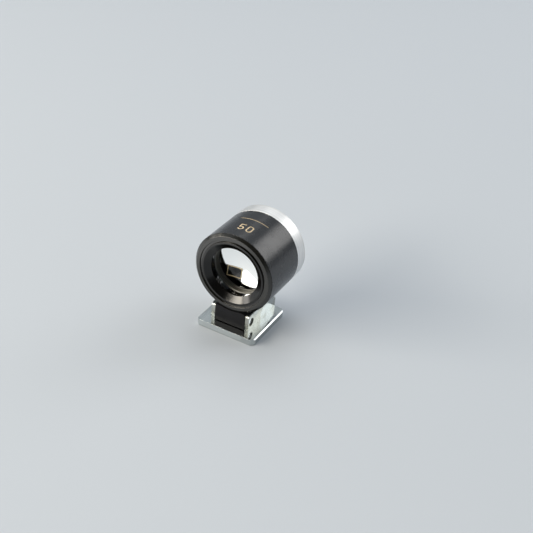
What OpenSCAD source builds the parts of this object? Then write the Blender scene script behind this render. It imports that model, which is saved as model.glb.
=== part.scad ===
// Accessory-shoe bright-line viewfinder: a round optical barrel on a tilting foot.
// Front objective faces -Y, eyepiece faces +Y, the foot stands on z = 0.

/* [Barrel] */
// Outer diameter of the barrel
barrel_d = 24; // [23.6:0.1:24.4]
// Length of the black part of the barrel, without its front chamfer
barrel_len = 14.7; // [14.2:0.1:15.2]
// Length of the satin rear ring
rear_ring_len = 4.45; // [4.2:0.05:4.8]
// Diameter of the clear front aperture
aperture_d = 14.6; // [14:0.1:15]

/* [Bezel] */
// Width and depth of the chamfer around the front
chamfer = 0.77; // [0.6:0.01:0.9]
// Depth of the turned groove between bezel and cone ring
groove_depth = 0.4; // [0.2:0.05:0.5]
// Radial width of the groove
groove_w = 0.65; // [0.5:0.05:0.7]

/* [Optics] */
// Depth of the front lens edge behind the front end of the barrel
lens_depth = 5.2; // [5.1:0.1:5.5]
// Radius of curvature of the hollow front face of the front lens
lens_curve_r = 25; // [24:1:40]
// Diameter of the eye opening at the rear
eye_d = 9; // [8:0.5:9.5]

/* [Foot] */
// Width of the foot plate that slides into the accessory shoe
foot_w = 18.6; // [18.5:0.05:18.6]
// Length of the foot plate
foot_len = 18; // [17.5:0.1:18]
// Thickness of the foot plate
foot_t = 2; // [1.9:0.05:2]
// Width over the two ears, which passes between the shoe's lips
ear_w = 12; // [11.8:0.1:12.2]
// Thickness of each ear
ear_t = 1.15; // [1:0.05:1.2]

/* [Pivot] */
// Diameter of the pivot pin
pin_d = 1.6; // [1.5:0.05:1.7]
// Radial running clearance of the pin in the stem
pin_clearance = 0.04; // [0.02:0.01:0.08]
// Diameter of the hole that the camera's parallax pin comes up through
shoe_pin_hole_d = 4; // [3.6:0.1:4]

/* [Hidden] */
$fn = 96;
eps = 0.01;               // overlap that keeps a cut clean

// Heights and lengths of the whole object
barrel_r = barrel_d / 2;
axis_z = foot_t + 17;     // height of the optical axis above the shoe
front_y = -3.1;           // foot plate front, from the barrel's front end
rear_y = barrel_len + rear_ring_len;
y_shift = -(front_y + rear_y) / 2;

// Barrel and bezel, as distances along the axis from the barrel's front end
face_y = -chamfer;
face_r = barrel_r - chamfer;
bezel_spigot_r = 10.9;
bezel_bore_r = 10.25;
bore_r = 10.4;
front_seat_y = 4;
spigot_r = 11.1;
spigot_len = 2.3;
cone_outer_r = bezel_bore_r - groove_w;
cone_face_r = 9.02;
aperture_r = aperture_d / 2;
cone_back_y = 0.48;
land_len = 0.35;
inner_r = 7.75;
cone_ring_back_y = 2.9;
ridge_r = 7.5;
ridge_pitch = 0.62;
ridge_depth = 0.46;
ridge_count = 3;

// Optical train
lens_r = 9;
lens_t = 2.6;
lens_play = 0.05;         // gap between the ridged tube and the lens rim
lens_rear_y = lens_depth + lens_t;
lens_seat_r = 7.6;
lens_rim_r = 7.5;
lens_front_sag = lens_curve_r - sqrt(pow(lens_curve_r, 2) - pow(lens_rim_r, 2));
film_t = 0.04;
film_r = 7.45;
line_w = 0.2;
frame_w = 4.4;
frame_h = 3.1;
frame_x = -5.05;
frame_z = -5.3;
window_gap = 0.1;
cell_rear_y = 9;
spacer_rear_y = 15.1;
mask_t = 0.4;
mask_w = 10.8;
mask_h = 7.2;
eye_cell_front_y = spacer_rear_y + mask_t;
eye_cell_rear_y = 18.3;
eye_lens_r = 5.6;
eye_lens_front_y = 16.1;
eye_lens_t = 1.7;
eye_lens_curve_r = 16;
rear_opening_r = 8.2;
eye_ring_rear_y = 18.9;

// Marks filled with gold paint
mark_depth = 0.12;
figure_h = 3.1;
figure_w = 1.75;
figure_gap = 0.75;
figure_stroke = 0.42;
figure_y = 3.35;
figure_shift = 0.15;       // the marks sit a little to the right of the top
line_y = 9.6;
line_len = 8.4;
line_t = 0.3;

// Stem between the ears
pivot_y = 1.2;
pivot_z = foot_t + 2.5;
ear_top_z = foot_t + 5.1;
ear_rear_z = foot_t + 3;
ear_front_y = -0.35;
ear_rear_y = 14.9;
ear_slope_y = 8.5;
ear_corner_r = 0.9;
recess_d = 2.5;
recess_depth = 0.5;
bracket_floor_t = 0.9;
floor_front_y = 2.4;
stem_w = ear_w - 2 * ear_t - 0.2;
stem_front_y = -0.55;
stem_rear_y = 13.6;
stem_top_z = axis_z - 11.7;
stem_toe_gap = 0.25;
stem_heel_gap = 0.05;
toe_rear_y = 2.2;
pin_r = pin_d / 2;
washer_r = 1.4;
washer_t = 0.3;
stem_screw_ys = [7, 12.3];
stem_screw_r = 0.8;
stem_screw_head_r = 1.5;
heel_y = 9.1;
heel_screw_r = 1;
spring_slot_w = 3.2;
spring_slot_r = 1.5;
wire_r = 0.2;
coil_r = 1.15;
coil_turns = 3;
toe_drop = wire_r + 0.05 - 2.5;

// Two pairs of screws hold the bracket, in front of and behind the pin hole.
bracket_screw_spots = [[-3, 5], [3, 5], [-3, 13.2], [3, 13.2]];
bracket_screw_r = 0.7;
bracket_head_r = 1.3;
bracket_head_t = 0.7;

// Set screw that locks the rear ring, at the bottom.
set_screw_y = barrel_len + 1.2;
set_screw_r = 0.7;
set_screw_sink = 0.15;
screw_slot_w = 0.2;
screw_slot_depth = 0.25;

// Turns a profile of [radius, distance along the axis] about the optical axis.
module turned(points) {
    translate([0, y_shift, axis_z])
        rotate([-90, 0, 0])
            rotate_extrude() polygon(points);
}

// A cylinder on the optical axis between two distances.
module axial_rod(r, y0, y1) {
    translate([0, y_shift + y0, axis_z])
        rotate([-90, 0, 0])
            cylinder(r = r, h = y1 - y0);
}

// A block given by its lowest corner and size, y counted from the barrel's front end.
module block(x, y, z, w, l, h) {
    translate([x, y_shift + y, z]) cube([w, l, h]);
}

// A vertical rod, y counted from the barrel's front end.
module post(r, y, z0, z1, x = 0) {
    translate([x, y_shift + y, z0]) cylinder(r = r, h = z1 - z0);
}

// A rod along X through the pivot.
module pivot_rod(r, x0, x1) {
    translate([x0, y_shift + pivot_y, pivot_z])
        rotate([0, 90, 0]) cylinder(r = r, h = x1 - x0);
}

// ---- marks on top of the barrel, drawn flat and read from the front ----

module stroke_bar(x, y, w, h) {
    translate([x, y]) square([w, h]);
}

// Ring stroke of an upright oval made of two half circles and two straights.
module figure_zero() {
    r = figure_w / 2;
    difference() {
        union() {
            translate([r, r]) circle(r = r);
            translate([r, figure_h - r]) circle(r = r);
            translate([0, r]) square([figure_w, figure_h - 2 * r]);
        }
        translate([r, r]) circle(r = r - figure_stroke);
        translate([r, figure_h - r]) circle(r = r - figure_stroke);
        translate([figure_stroke, r]) square([figure_w - 2 * figure_stroke, figure_h - 2 * r]);
    }
}

// Flag, stem and open bowl of a five.
module figure_five() {
    r = figure_w / 2;
    stroke_bar(0.12, figure_h - figure_stroke, figure_w - 0.2, figure_stroke);
    stroke_bar(0.12, 2 * r - 0.2, figure_stroke, figure_h - 2 * r + 0.2);
    difference() {
        translate([r, r]) circle(r = r);
        translate([r, r]) circle(r = r - figure_stroke);
        translate([-eps, r - 0.28]) square([r * 0.8, 0.75]);
    }
}

// Everything that is engraved as figures, centred on the top of the barrel.
module figures_flat() {
    total = 2 * figure_w + figure_gap;
    translate([figure_shift - total / 2, figure_y]) figure_five();
    translate([figure_shift + total / 2 - figure_w, figure_y]) figure_zero();
}

module line_flat() {
    translate([figure_shift - line_len / 2, line_y]) square([line_len, line_t]);
}

// A skin of the barrel wall, cut out by a flat drawing that looks straight down.
module on_barrel_top(skin) {
    intersection() {
        difference() {
            axial_rod(barrel_r, 0, barrel_len);
            axial_rod(barrel_r - skin, -1, barrel_len + 1);
        }
        translate([0, y_shift, axis_z]) linear_extrude(height = barrel_r + 1) children();
    }
}

// ---- barrel group ----

module barrel_shell() {
    color("#1b1c1f")
    difference() {
        turned([
            [bore_r, front_seat_y], [bezel_spigot_r, front_seat_y], [bezel_spigot_r, 0],
            [barrel_r, 0], [barrel_r, barrel_len], [spigot_r, barrel_len],
            [spigot_r, barrel_len + spigot_len], [bore_r, barrel_len + spigot_len]
        ]);
        on_barrel_top(mark_depth) figures_flat();
        on_barrel_top(mark_depth) line_flat();
        stem_screw_cuts();
    }
}

module front_bezel() {
    color("#151517")
    turned([
        [bezel_bore_r, face_y + 0.1], [bezel_bore_r + 0.1, face_y], [face_r, face_y],
        [barrel_r, 0], [bezel_spigot_r, 0], [bezel_spigot_r, front_seat_y - 0.1],
        [cone_outer_r, front_seat_y - 0.1], [cone_outer_r, face_y + groove_depth],
        [bezel_bore_r, face_y + groove_depth]
    ]);
}

module cone_ring() {
    color("#121214")
    turned([
        [aperture_r, cone_back_y], [aperture_r, cone_back_y + land_len],
        [inner_r, cone_back_y + land_len + 0.4], [inner_r, cone_ring_back_y],
        [cone_outer_r, cone_ring_back_y], [cone_outer_r, face_y + groove_depth],
        [cone_outer_r, face_y + 0.08], [cone_outer_r - 0.08, face_y], [cone_face_r, face_y]
    ]);
}

module ridged_tube() {
    outer = [
        [lens_r, lens_depth - lens_play], [lens_r, front_seat_y], [cone_outer_r, front_seat_y],
        [cone_outer_r, cone_ring_back_y], [ridge_r + ridge_depth, cone_ring_back_y]
    ];
    ridges = [
        for (i = [0 : ridge_count - 1])
            for (p = [
                [ridge_r, cone_ring_back_y + 0.25 + i * ridge_pitch],
                [ridge_r, cone_ring_back_y + 0.35 + i * ridge_pitch],
                [ridge_r + ridge_depth, cone_ring_back_y + 0.47 + i * ridge_pitch],
                [ridge_r + ridge_depth, cone_ring_back_y + 0.75 + i * ridge_pitch]
            ]) p
    ];
    color("#26241f")
    turned(concat(outer, ridges, [[ridge_r, lens_depth - lens_play]]));
}

// Sphere whose surface is the hollow front face of the front lens.
module lens_hollow(r) {
    translate([0, y_shift + lens_depth + lens_front_sag - lens_curve_r, axis_z])
        sphere(r = r, $fn = 240);
}

module objective_lens() {
    color("#c9d6da")
    difference() {
        axial_rod(lens_r, lens_depth, lens_rear_y);
        lens_hollow(lens_curve_r);
    }
}

// The mirror film leaves a clear window, low on the left as seen from the front.
module mirror_film() {
    color("#dfe6e8")
    difference() {
        intersection() {
            axial_rod(film_r, lens_depth - 0.5, lens_rear_y);
            lens_hollow(lens_curve_r);
        }
        lens_hollow(lens_curve_r - film_t);
        block(-lens_r, lens_depth - 1, axis_z - lens_r, lens_r + frame_x + frame_w + window_gap,
            lens_t, lens_r + frame_z + frame_h + window_gap);
    }
}

// Outline of the field of view, laid on the hollow face inside the clear window.
module frame_line() {
    color("#c9a24a")
    intersection() {
        difference() {
            lens_hollow(lens_curve_r);
            lens_hollow(lens_curve_r - film_t);
        }
        difference() {
            block(frame_x, lens_depth - 1, axis_z + frame_z, frame_w, lens_t, frame_h);
            block(frame_x + line_w, lens_depth - 2, axis_z + frame_z + line_w,
                frame_w - 2 * line_w, 2 * lens_t, frame_h - 2 * line_w);
        }
    }
}

module lens_cell() {
    color("#202124")
    turned([
        [lens_r, front_seat_y + 0.05], [bore_r, front_seat_y + 0.05], [bore_r, cell_rear_y],
        [lens_seat_r, cell_rear_y], [lens_seat_r, lens_rear_y], [lens_r, lens_rear_y]
    ]);
}

module spacer_tube() {
    spacer_inner_r = bore_r - 0.8;
    color("#18181a")
    turned([
        [spacer_inner_r, cell_rear_y], [bore_r, cell_rear_y],
        [bore_r, spacer_rear_y], [spacer_inner_r, spacer_rear_y]
    ]);
}

module field_mask() {
    color("#101012")
    difference() {
        axial_rod(bore_r, spacer_rear_y, eye_cell_front_y);
        block(-mask_w / 2, spacer_rear_y - 1, axis_z - mask_h / 2, mask_w, mask_t + 2, mask_h);
    }
}

module rear_ring() {
    edge = 0.35;
    color("#c8cacb")
    difference() {
        turned([
            [spigot_r, barrel_len], [barrel_r, barrel_len], [barrel_r, rear_y - edge],
            [barrel_r - edge, rear_y], [rear_opening_r + 0.5, rear_y],
            [rear_opening_r, rear_y - 0.5], [rear_opening_r, barrel_len + spigot_len + 0.6],
            [bore_r, barrel_len + spigot_len + 0.6], [bore_r, barrel_len + spigot_len],
            [spigot_r, barrel_len + spigot_len]
        ]);
        post(set_screw_r, set_screw_y, axis_z - barrel_r - 1, axis_z - spigot_r);
    }
}

module ring_set_screw() {
    color("#8d9092")
    difference() {
        post(set_screw_r, set_screw_y, axis_z - barrel_r + set_screw_sink, axis_z - spigot_r);
        block(-screw_slot_w / 2, set_screw_y - 1.2, axis_z - barrel_r, screw_slot_w, 2.4,
            set_screw_sink + screw_slot_depth);
    }
}

module eyepiece_cell() {
    step_y = eye_lens_front_y + eye_lens_t;
    color("#1d1d20")
    turned([
        [eye_lens_r - 0.6, eye_cell_front_y], [bore_r, eye_cell_front_y],
        [bore_r, barrel_len + spigot_len + 0.6], [rear_opening_r, barrel_len + spigot_len + 0.6],
        [rear_opening_r, eye_cell_rear_y], [eye_lens_r + 1.2, eye_cell_rear_y],
        [eye_lens_r + 1.2, step_y], [eye_lens_r, step_y], [eye_lens_r, eye_lens_front_y],
        [eye_lens_r - 0.6, eye_lens_front_y]
    ]);
}

module eyepiece_lens() {
    color("#c9d6da")
    intersection() {
        axial_rod(eye_lens_r, eye_lens_front_y, eye_lens_front_y + eye_lens_t);
        translate([0, y_shift + eye_lens_front_y + eye_lens_t - eye_lens_curve_r, axis_z])
            sphere(r = eye_lens_curve_r, $fn = 240);
    }
}

module eyepiece_ring() {
    slot_w = 0.7;
    ring_y = eye_lens_front_y + eye_lens_t;
    eye_r = eye_d / 2;
    lip_r = eye_lens_r - 0.4;
    lip_y = ring_y - 0.85;
    color("#1a1a1c")
    difference() {
        turned([
            [eye_r, ring_y + 0.35], [eye_r + 0.35, ring_y], [lip_r, ring_y], [lip_r, lip_y],
            [eye_lens_r, lip_y], [eye_lens_r, ring_y], [eye_lens_r + 1.2, ring_y],
            [eye_lens_r + 1.2, eye_ring_rear_y - 0.2], [eye_lens_r + 1, eye_ring_rear_y],
            [eye_r + 0.6, eye_ring_rear_y]
        ]);
        block(-eye_lens_r - 2, eye_ring_rear_y - 0.4, axis_z - slot_w / 2,
            2 * eye_lens_r + 4, 1, slot_w);
    }
}

module figure_inlay() {
    color("#d8ae62")
    on_barrel_top(mark_depth) figures_flat();
}

module line_inlay() {
    color("#d8ae62")
    on_barrel_top(mark_depth) line_flat();
}

// ---- stem group ----

// Countersunk holes through the barrel wall for the screws into the stem.
module stem_screw_cuts() {
    for (y = stem_screw_ys) {
        post(stem_screw_r, y, axis_z - barrel_r - 1, axis_z - bore_r);
        post(stem_screw_head_r, y, axis_z - barrel_r + 0.8, axis_z - bore_r + 0.6);
    }
}

module stem_block() {
    toe_z = foot_t + stem_toe_gap;
    heel_z = foot_t + bracket_floor_t + stem_heel_gap;
    color("#141416")
    difference() {
        union() {
            block(-stem_w / 2, stem_front_y, toe_z, stem_w, toe_rear_y - stem_front_y,
                stem_top_z - toe_z);
            block(-stem_w / 2, toe_rear_y, heel_z, stem_w, stem_rear_y - toe_rear_y,
                stem_top_z - heel_z);
        }
        axial_rod(barrel_r, face_y - 1, rear_y);
        pivot_rod(pin_r + pin_clearance, -stem_w, stem_w);
        pivot_rod(washer_r + 0.1, -stem_w, -stem_w / 2 + washer_t - 0.05);
        pivot_rod(washer_r + 0.1, stem_w / 2 - washer_t + 0.05, stem_w);
        pivot_rod(spring_slot_r, -spring_slot_w / 2, spring_slot_w / 2);
        block(-spring_slot_w / 2, pivot_y - 0.9, foot_t, spring_slot_w, 1.8, pivot_z - foot_t);
        block(-spring_slot_w / 2, pivot_y, pivot_z + coil_r - wire_r - 0.02, spring_slot_w, 4.4, 0.8);
        for (y = stem_screw_ys) post(stem_screw_r, y, foot_t + 3.4, axis_z - barrel_r + 1);
        post(heel_screw_r, heel_y, heel_z - 1, stem_top_z - 0.8);
    }
}

module stem_screws() {
    head_z = axis_z - barrel_r + 0.8;
    color("#9a9c9e")
    for (y = stem_screw_ys) {
        difference() {
            union() {
                post(stem_screw_r, y, foot_t + 3.6, head_z + 0.1);
                post(stem_screw_head_r, y, head_z, head_z + 0.7);
            }
            block(-stem_screw_head_r - 1, y - 0.2, head_z + 0.4, 2 * stem_screw_head_r + 2, 0.4, 1);
        }
    }
}

// Grub screw that the camera's pin pushes on. Its tip sits level with the bracket floor.
module heel_screw() {
    tip_z = foot_t + bracket_floor_t + stem_heel_gap;
    color("#a6a8aa")
    difference() {
        post(heel_screw_r, heel_y, tip_z, tip_z + 2.6);
        block(-0.15, heel_y - heel_screw_r - 1, tip_z - 1, 0.3, 2 * heel_screw_r + 2, 1.5);
    }
}

// Centre line of the return spring: toe leg, coils about the pivot, heel leg.
function spring_path() = let (
    half = coil_turns * wire_r * 1.25,
    start = -100,
    sweep = 360 * coil_turns + 190,
    steps = 16 * coil_turns
) concat(
    [[-half, -0.35, toe_drop]],
    [for (i = [0 : steps])
        let (a = start - sweep * i / steps + 360 * coil_turns)
        [-half + 2 * half * i / steps, coil_r * cos(a), coil_r * sin(a)]],
    [[half, 3.9, coil_r]]
);

// Sweeps a round wire along a path in the y-z plane that drifts along x.
module wire(path, r, sides) {
    last = len(path) - 1;
    function unit(v) = v / norm(v);
    function along(i) = unit(path[min(i + 1, last)] - path[max(i - 1, 0)]);
    function across(i) = unit(cross(along(i), [1, 0, 0]));
    points = [
        for (i = [0 : last])
            let (u = across(i), v = cross(along(i), u))
            for (k = [0 : sides - 1])
                path[i] + r * (cos(360 * k / sides) * u + sin(360 * k / sides) * v)
    ];
    walls = [
        for (i = [0 : last - 1])
            for (k = [0 : sides - 1])
                let (n = (k + 1) % sides)
                [i * sides + k, i * sides + n, (i + 1) * sides + n, (i + 1) * sides + k]
    ];
    near_cap = [for (k = [sides - 1 : -1 : 0]) k];
    far_cap = [for (k = [0 : sides - 1]) last * sides + k];
    polyhedron(points = points, faces = concat([near_cap], walls, [far_cap]), convexity = 6);
}

module return_spring() {
    color("#b8bcc0")
    translate([0, y_shift + pivot_y, pivot_z]) wire(spring_path(), wire_r, 8);
}

// ---- foot group ----

// Plate with bevelled upper edges and cut corners.
module foot_plate() {
    bevel = 0.35;
    corner = 1;
    half = foot_w / 2;
    color("#c3ccd2")
    difference() {
        intersection() {
            translate([0, y_shift + front_y + foot_len, 0])
                rotate([90, 0, 0])
                    linear_extrude(height = foot_len)
                        polygon([
                            [-half, 0], [half, 0], [half, foot_t - bevel], [half - bevel, foot_t],
                            [bevel - half, foot_t], [-half, foot_t - bevel]
                        ]);
            translate([0, y_shift + front_y, -1])
                linear_extrude(height = foot_t + 2)
                    polygon([
                        [corner - half, 0], [half - corner, 0], [half, corner],
                        [half, foot_len - corner], [half - corner, foot_len],
                        [corner - half, foot_len], [-half, foot_len - corner], [-half, corner]
                    ]);
        }
        post(shoe_pin_hole_d / 2, heel_y, -1, foot_t + 1);
        bracket_screw_cuts();
    }
}

module bracket_screw_cuts() {
    for (p = bracket_screw_spots) {
        post(bracket_screw_r, p[1], -1, foot_t + 1, p[0]);
        post(bracket_head_r, p[1], -1, bracket_head_t + 0.1, p[0]);
    }
}

module bracket_screws() {
    color("#b0b3b5")
    for (p = bracket_screw_spots) {
        difference() {
            union() {
                post(bracket_screw_r, p[1], 0.2, foot_t + bracket_floor_t - 0.05, p[0]);
                post(bracket_head_r, p[1], 0.1, bracket_head_t + 0.1, p[0]);
            }
            block(p[0] - 2, p[1] - 0.15, -1, 4, 0.3, 1.4);
        }
    }
}

// Side view of one ear: full height in front, stepping down to the rear.
module ear_outline() {
    r = ear_corner_r;
    difference() {
        polygon([
            [ear_front_y, foot_t], [ear_rear_y, foot_t], [ear_rear_y, ear_rear_z],
            [ear_slope_y, ear_top_z], [ear_front_y, ear_top_z]
        ]);
        translate([ear_front_y, ear_top_z - r])
            difference() {
                translate([-eps, 0]) square([r + eps, r + eps]);
                translate([r, 0]) circle(r = r);
            }
    }
}

module ear(x0) {
    translate([x0, y_shift, 0])
        rotate([90, 0, 90]) linear_extrude(height = ear_t) ear_outline();
}

module ear_bracket() {
    half = ear_w / 2;
    color("#bcc6cc")
    difference() {
        union() {
            ear(-half);
            ear(half - ear_t);
            block(-half + ear_t - eps, floor_front_y, foot_t, ear_w - 2 * ear_t + 2 * eps,
                ear_rear_y - floor_front_y, bracket_floor_t);
        }
        pivot_rod(pin_r, -ear_w, ear_w);
        pivot_rod(recess_d / 2, -ear_w, -half + recess_depth);
        pivot_rod(recess_d / 2, half - recess_depth, ear_w);
        post(shoe_pin_hole_d / 2, heel_y, 0, foot_t + bracket_floor_t + 1);
        for (p = bracket_screw_spots) post(bracket_screw_r, p[1], 0, foot_t + 2, p[0]);
    }
}

module pivot_pin() {
    dome = 0.15;
    end_x = ear_w / 2 - 0.15;
    color("#d2d6d8")
    translate([0, y_shift + pivot_y, pivot_z])
        rotate([0, 90, 0])
            rotate_extrude()
                polygon([
                    [0, -end_x], [pin_r - dome, -end_x], [pin_r, dome - end_x],
                    [pin_r, end_x - dome], [pin_r - dome, end_x], [0, end_x]
                ]);
}

module pivot_washers() {
    gap_x = ear_w / 2 - ear_t;
    color("#a9a27c")
    for (side = [-1, 1]) {
        difference() {
            pivot_rod(washer_r, side > 0 ? gap_x - washer_t : -gap_x,
                side > 0 ? gap_x : washer_t - gap_x);
            pivot_rod(pin_r, -ear_w, ear_w);
        }
    }
}

barrel_shell();
front_bezel();
cone_ring();
ridged_tube();
objective_lens();
mirror_film();
frame_line();
lens_cell();
spacer_tube();
field_mask();
rear_ring();
eyepiece_cell();
eyepiece_lens();
eyepiece_ring();
ring_set_screw();
figure_inlay();
line_inlay();
stem_block();
stem_screws();
heel_screw();
return_spring();
foot_plate();
ear_bracket();
bracket_screws();
pivot_pin();
pivot_washers();
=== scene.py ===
import bpy, bmesh, math
from mathutils import Matrix, Vector


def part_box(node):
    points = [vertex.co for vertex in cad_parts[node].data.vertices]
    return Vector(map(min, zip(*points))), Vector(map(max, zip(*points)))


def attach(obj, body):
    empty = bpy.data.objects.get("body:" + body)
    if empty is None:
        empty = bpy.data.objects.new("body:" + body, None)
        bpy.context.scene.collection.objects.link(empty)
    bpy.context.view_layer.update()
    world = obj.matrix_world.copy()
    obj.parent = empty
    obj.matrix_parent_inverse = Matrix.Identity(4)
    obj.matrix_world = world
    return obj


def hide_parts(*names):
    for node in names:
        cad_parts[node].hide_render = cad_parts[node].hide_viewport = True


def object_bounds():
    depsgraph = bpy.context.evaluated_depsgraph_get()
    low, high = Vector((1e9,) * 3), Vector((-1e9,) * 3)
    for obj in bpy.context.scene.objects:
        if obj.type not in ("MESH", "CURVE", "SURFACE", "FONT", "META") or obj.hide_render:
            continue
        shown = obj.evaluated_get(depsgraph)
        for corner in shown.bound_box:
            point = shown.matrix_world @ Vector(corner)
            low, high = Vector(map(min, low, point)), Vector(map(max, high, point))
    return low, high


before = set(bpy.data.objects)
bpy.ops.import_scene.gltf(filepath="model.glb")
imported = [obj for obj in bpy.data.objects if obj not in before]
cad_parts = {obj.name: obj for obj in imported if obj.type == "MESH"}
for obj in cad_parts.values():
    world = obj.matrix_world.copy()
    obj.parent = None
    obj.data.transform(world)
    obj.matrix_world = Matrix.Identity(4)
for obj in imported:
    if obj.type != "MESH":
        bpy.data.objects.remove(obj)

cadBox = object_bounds()
scene = bpy.context.scene
mm = 0.001  # meshes are worked in millimetres and scaled down once at the end


def boxMm(node):
    low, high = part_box(node)
    return [v / mm for v in low], [v / mm for v in high]


barrelLow, barrelHigh = boxMm("barrel_shell")
axisZ = (barrelLow[2] + barrelHigh[2]) / 2  # height of the optical axis
frontEnd = barrelLow[1]  # where the straight barrel starts
barrelR = (barrelHigh[0] - barrelLow[0]) / 2
shellEnd = boxMm("rear_ring")[0][1]
rearEnd = boxMm("rear_ring")[1][1]
plateLow, plateHigh = boxMm("foot_plate")
earLow, earHigh = boxMm("ear_bracket")
stemLow, stemHigh = boxMm("stem_block")
pinLow, pinHigh = boxMm("pivot_pin")
pivotY = (pinLow[1] + pinHigh[1]) / 2
pivotZ = (pinLow[2] + pinHigh[2]) / 2
pinHoleY = frontEnd + 9.1  # the pin hole, the heel screw above it and its hole in the stem

# aim and distance in mm, turn in degrees
view = {"aim": (4.175, 3.094, 16.868), "turn": (56.642, -4.267, 29.414), "distance": 240.31, "lens": 58.46}


def linked(name, data):
    thing = bpy.data.objects.new(name, data)
    scene.collection.objects.link(thing)
    return thing


def makeCamera():
    data = bpy.data.cameras.new("stillCamera")
    data.lens = view["lens"]
    data.sensor_width = 36
    data.clip_start = 0.01
    data.clip_end = 50
    camera = linked("stillCamera", data)
    camera.rotation_euler = [math.radians(a) for a in view["turn"]]
    back = camera.rotation_euler.to_matrix() @ Vector((0, 0, 1))
    camera.location = (Vector(view["aim"]) + back * view["distance"]) * mm
    scene.camera = camera


studio = {
    "floorTone": (0.592, 0.630, 0.678), "floorSize": 40.0,
    "skyTop": (0.92, 0.985, 1.02), "skyLow": (0.62, 0.67, 0.70), "horizon": (0.60, 0.64, 0.66),
    "skyStrength": 0.60,
    "darkSide": (0.32, -0.66, 0.68), "darkStrength": 0.05, "darkEdge": (0.55, 0.92),
    "backdrop": (0.42, 0.46, 0.48), "view": "Standard",
}

# name: place (m), aim (m), size (m), watts, colour
# the two cards lie on the floor before the foot and light up in the coated lens
lamps = {
    "rearSoftbox": ((0.40, 0.67, 0.46), (0, 0, 0.018), (0.40, 0.55), 1.8, (1.0, 0.985, 0.965)),
    "topSoftbox": ((-0.30, 0.35, 0.86), (0, 0, 0.018), (0.70, 0.70), 2.4, (1.0, 0.99, 0.98)),
    "frontLeftBox": ((-0.62, -0.76, 0.42), (0, 0, 0.018), (0.90, 0.24), 11.0, (1.0, 0.925, 0.80)),
    "leftBox": ((-0.98, -0.45, 0.18), (0, 0, 0.018), (0.40, 0.26), 2.2, (1.0, 0.95, 0.88)),
    "wideCard": ((-0.013, -0.026, 0.0004), (-0.013, -0.026, 1.0), (0.036, 0.030), 0.0005, (1.0, 1.0, 0.99)),
    "lowCard": ((-0.036, -0.053, 0.0004), (-0.036, -0.053, 1.0), (0.04, 0.04), 0.0038, (1.0, 1.0, 0.99)),
}


def addLamp(name, place, aim, size, watts, colour):
    data = bpy.data.lights.new(name, "AREA")
    data.shape = "RECTANGLE"
    data.size, data.size_y = size
    data.energy = watts
    data.color = colour
    lamp = linked(name, data)
    lamp.location = place
    lamp.rotation_euler = (Vector(place) - Vector(aim)).to_track_quat("Z", "Y").to_euler()
    lamp.visible_camera = False


def makeStudio():
    for name, values in lamps.items():
        addLamp(name, *values)
    world = bpy.data.worlds.new("paleRoom")
    scene.world = world
    world.use_nodes = True
    tree = world.node_tree
    tree.nodes.clear()
    coords = tree.nodes.new("ShaderNodeTexCoord")
    split = tree.nodes.new("ShaderNodeSeparateXYZ")
    ramp = tree.nodes.new("ShaderNodeValToRGB")
    horizon, skyLow, skyTop = studio["horizon"], studio["skyLow"], studio["skyTop"]
    steps = ((0.0, horizon), (0.07, horizon), (0.20, skyLow), (0.8, skyTop))
    ramp.color_ramp.elements[1].position = 1.0
    while len(ramp.color_ramp.elements) < len(steps):
        ramp.color_ramp.elements.new(0.5)
    for element, (position, tone) in zip(ramp.color_ramp.elements, steps):
        element.position = position
        element.color = (*tone, 1)
    back = tree.nodes.new("ShaderNodeBackground")
    plain = tree.nodes.new("ShaderNodeBackground")
    plain.inputs["Color"].default_value = (*studio["backdrop"], 1)
    sight = tree.nodes.new("ShaderNodeLightPath")
    choose = tree.nodes.new("ShaderNodeMixShader")  # the room itself shows only in reflections
    out = tree.nodes.new("ShaderNodeOutputWorld")
    tree.links.new(coords.outputs["Generated"], split.inputs[0])
    tree.links.new(split.outputs["Z"], ramp.inputs[0])
    dark = tree.nodes.new("ShaderNodeVectorMath")  # the unlit side of the room
    dark.operation = "DOT_PRODUCT"
    dark.inputs[1].default_value = Vector(studio["darkSide"]).normalized()
    tree.links.new(coords.outputs["Generated"], dark.inputs[0])
    strengths = studio["skyStrength"], studio["darkStrength"]
    fade = mapRange(tree, dark.outputs["Value"], *studio["darkEdge"], *strengths)
    tree.links.new(fade, back.inputs["Strength"])
    tree.links.new(ramp.outputs["Color"], back.inputs["Color"])
    tree.links.new(sight.outputs["Is Camera Ray"], choose.inputs[0])
    tree.links.new(back.outputs[0], choose.inputs[1])
    tree.links.new(plain.outputs[0], choose.inputs[2])
    tree.links.new(choose.outputs[0], out.inputs[0])
    scene.view_settings.view_transform = studio["view"]


def makeFloor():
    half = studio["floorSize"] / 2
    mesh = bpy.data.meshes.new("paleFloor")
    corners = [(-half, -half, 0), (half, -half, 0), (half, half, 0), (-half, half, 0)]
    mesh.from_pydata(corners, [], [(0, 1, 2, 3)])
    floor = linked("paleFloor", mesh)
    floor.location.z = cadBox[0].z - 0.00002  # a hair below the plate
    material = Finish("paleFloor", studio["floorTone"], 0.55)
    material.shader.inputs["Specular IOR Level"].default_value = 0.25
    floor.data.materials.append(material.material)


def newGroup(name, inputs, outputs):
    group = bpy.data.node_groups.new(name, "ShaderNodeTree")
    for socketName, kind, value in inputs:
        socket = group.interface.new_socket(name=socketName, in_out="INPUT", socket_type=kind)
        if value is not None:
            socket.default_value = value
    for socketName, kind in outputs:
        group.interface.new_socket(name=socketName, in_out="OUTPUT", socket_type=kind)
    return group, group.nodes.new("NodeGroupInput"), group.nodes.new("NodeGroupOutput")


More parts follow.
